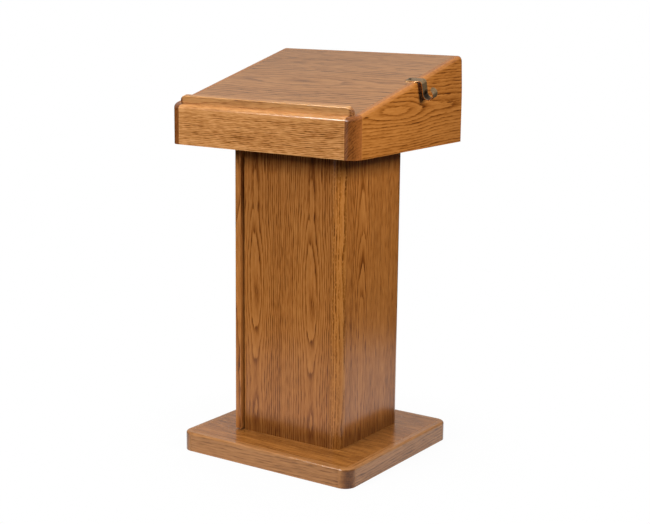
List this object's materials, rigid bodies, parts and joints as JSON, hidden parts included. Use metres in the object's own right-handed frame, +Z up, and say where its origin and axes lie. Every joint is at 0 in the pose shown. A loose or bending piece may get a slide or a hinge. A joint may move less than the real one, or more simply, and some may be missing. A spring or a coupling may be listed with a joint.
{
  "type": "lectern",
  "caption": "Floor-standing oak lectern with a sloping desk and book stop, a square column with a hinged side door, a round-cornered plinth and a strap hook.",
  "frame": {"origin": "on the floor under the middle of the plinth", "axes": "+Z up, -Y towards the speaker at the low edge of the desk, +X at the speaker's right"},
  "size_m": [0.6725, 0.5742, 1.1629],
  "materials": {
    "oak_veneer": "semi-gloss lacquered oak veneer",
    "oak_solid": "semi-gloss lacquered solid oak",
    "oak_post": "semi-gloss lacquered solid oak, darker",
    "oak_inside": "thinly sealed oak inside",
    "aged_bronze": "aged bronze",
    "hinge_brass": "satin brass",
    "bright_steel": "plated steel",
    "catch_plastic": "matt black"
  },
  "bodies": {
    "carcass": {"base_top_panel": "oak_veneer", "base_bottom_panel": "oak_inside", "base_rail_front": "oak_solid", "base_rail_back": "oak_solid", "base_rail_left": "oak_solid", "base_rail_right": "oak_solid", "base_corner_front_left": "oak_post", "base_corner_front_right": "oak_post", "base_corner_back_left": "oak_post", "base_corner_back_right": "oak_post", "base_screw_1": "bright_steel", "base_screw_2": "bright_steel", "base_screw_3": "bright_steel", "base_screw_4": "bright_steel", "column_front_panel": "oak_veneer", "column_right_panel": "oak_veneer", "column_back_panel": "oak_veneer", "column_post_front": "oak_post", "column_post_back": "oak_post", "jamb_stile_front": "oak_solid", "jamb_stile_back": "oak_solid", "column_bottom_plate": "oak_inside", "column_top_plate": "oak_inside", "shelf_1": "oak_inside", "shelf_1_cleat_front": "oak_inside", "shelf_1_cleat_back": "oak_inside", "shelf_2": "oak_inside", "shelf_2_cleat_front": "oak_inside", "shelf_2_cleat_back": "oak_inside", "hinge_1_frame_leaf": "hinge_brass", "hinge_1_pin": "hinge_brass", "hinge_2_frame_leaf": "hinge_brass", "hinge_2_pin": "hinge_brass", "hinge_3_frame_leaf": "hinge_brass", "hinge_3_pin": "hinge_brass", "magnetic_catch": "catch_plastic", "desk_apron": "oak_solid", "desk_side_left": "oak_veneer", "desk_side_right": "oak_veneer", "desk_back_panel": "oak_veneer", "desk_post_left": "oak_post", "desk_post_right": "oak_post", "desk_bottom_panel": "oak_inside", "reading_top": "oak_veneer", "top_cleat_left": "oak_inside", "top_cleat_right": "oak_inside", "book_stop": "oak_solid", "desk_screw_1": "bright_steel", "desk_screw_2": "bright_steel", "desk_screw_3": "bright_steel", "desk_screw_4": "bright_steel", "edge_hook": "aged_bronze", "hook_screw": "aged_bronze"},
    "door": {"door_panel": "oak_veneer", "hinge_1_door_leaf": "hinge_brass", "hinge_2_door_leaf": "hinge_brass", "hinge_3_door_leaf": "hinge_brass", "strike_plate": "bright_steel"}
  },
  "joints": [
    {"name": "door_hinge", "type": "hinge", "parent": "carcass", "child": "door", "pos_m": [-0.1554, 0.1796, 0.4853], "axis": [0, 0, -1], "range_deg": [0, 170]}
  ]
}
